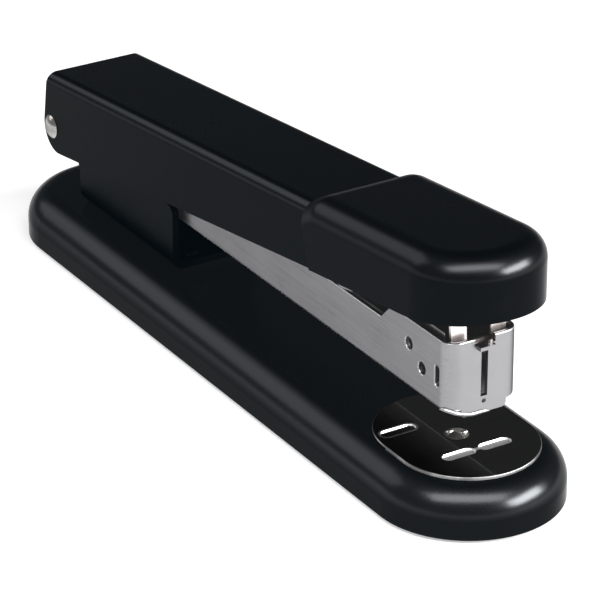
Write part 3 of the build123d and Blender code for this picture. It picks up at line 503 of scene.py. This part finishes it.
def givingCoil(node, settings):
    # a merged copy of the CAD coil, attached to its body in place of the CAD node
    mesh = nodes[node].data.copy()
    merged = bmesh.new()
    merged.from_mesh(mesh)
    bmesh.ops.remove_doubles(merged, verts=merged.verts, dist=mergeDistance)
    merged.to_mesh(mesh)
    merged.free()
    coil = bpy.data.objects.new(node + "_coil", mesh)
    bpy.context.scene.collection.objects.link(coil)
    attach(coil, settings["body"])
    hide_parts(node)
    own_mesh(coil)


for coilNode, coilMove in coilSettings.items():
    givingCoil(coilNode, coilMove)
print("coils that shorten:", len(coilSettings))

floorSettings = {
    "half": 4.0, "low": grey(0.62), "high": grey(0.65), "mottleSize": 0.2, "glow": grey(0.46),
    "roughness": 0.65, "specular": 0.2,
}


def paleFloor(settings):
    # a level sheet far larger than the view, with a very faint mottle
    shader = Shader("paleFloor")
    mottle = shader.noise(settings["mottleSize"])
    finish = shader.finish(
        Base_Color=shader.mix(mottle, settings["low"], settings["high"]),
        Emission_Color=settings["glow"], Emission_Strength=1.0,
        Roughness=settings["roughness"], Specular_IOR_Level=settings["specular"])
    corners = np.array([(-1, -1, 0), (1, -1, 0), (1, 1, 0), (-1, 1, 0)], float) * settings["half"]
    mesh = bpy.data.meshes.new("floor")
    mesh.from_pydata(corners.tolist(), [], [(0, 1, 2, 3)])
    mesh.materials.append(finish)
    floor = bpy.data.objects.new("floor", mesh)
    bpy.context.scene.collection.objects.link(floor)


paleFloor(floorSettings)

lightSettings = {  # degrees, with the azimuth from +X towards +Y; metres; watts
    "frontBox": {"azimuth": -29.0, "elevation": 55.5, "distance": 1.1, "size": (1.5, 0.46), "power": 16.0},
    "rightLamp": {"azimuth": 37.0, "elevation": 22.0, "distance": 1.0, "size": (0.70, 0.32), "power": 18.5},
    "leftCard": {"azimuth": -150.0, "elevation": 30.0, "distance": 1.2, "size": (0.9, 0.6), "power": 2.2},
}


def studioLamp(name, settings):
    # a flat lamp on a sphere about the origin, facing it
    azimuth, elevation = (math.radians(settings[key]) for key in ("azimuth", "elevation"))
    towards = Vector((math.cos(azimuth) * math.cos(elevation), math.sin(azimuth) * math.cos(elevation),
                      math.sin(elevation)))
    lamp = bpy.data.lights.new(name, "AREA")
    lamp.shape = "RECTANGLE"
    lamp.size, lamp.size_y = settings["size"]
    lamp.energy = settings["power"]
    holder = bpy.data.objects.new(name, lamp)
    holder.location = towards * settings["distance"]
    holder.rotation_mode = "QUATERNION"
    holder.rotation_quaternion = towards.to_track_quat("Z", "Y")
    bpy.context.scene.collection.objects.link(holder)


for lampName, lampSettings in lightSettings.items():
    studioLamp(lampName, lampSettings)

worldSettings = {"Color": grey(0.14), "Strength": 1.0}
world = bpy.data.worlds.new("studioDark")
world.use_nodes = True
for inputName, inputValue in worldSettings.items():
    world.node_tree.nodes["Background"].inputs[inputName].default_value = inputValue
bpy.context.scene.world = world
bpy.context.scene.view_settings.view_transform = "Standard"
print("stage and lamps set:", len(lightSettings), "lamps")

cameraSettings = {  # metres, degrees, pixels of the photo's frame, and the sensor in millimetres
    "target": (-0.00418, 0.00802, 0.00929), "azimuth": 58.58, "elevation": 26.32, "distance": 0.811,
    "focalPixels": 3654.4, "imagePixels": 600.0, "sensor": 36.0,
}


def photoCamera(settings):
    # stands back from the target; azimuth 0 looks along +Y
    azimuth, elevation = (math.radians(settings[key]) for key in ("azimuth", "elevation"))
    back = Vector((math.sin(azimuth) * math.cos(elevation), -math.cos(azimuth) * math.cos(elevation),
                   math.sin(elevation)))
    lens = bpy.data.cameras.new("photoCamera")
    lens.sensor_width = settings["sensor"]
    lens.lens = settings["focalPixels"] / settings["imagePixels"] * settings["sensor"]
    holder = bpy.data.objects.new("photoCamera", lens)
    holder.location = Vector(settings["target"]) + back * settings["distance"]
    holder.rotation_mode = "QUATERNION"
    holder.rotation_quaternion = (-back).to_track_quat("-Z", "Y")
    bpy.context.scene.collection.objects.link(holder)
    bpy.context.scene.camera = holder


photoCamera(cameraSettings)
print("camera set")
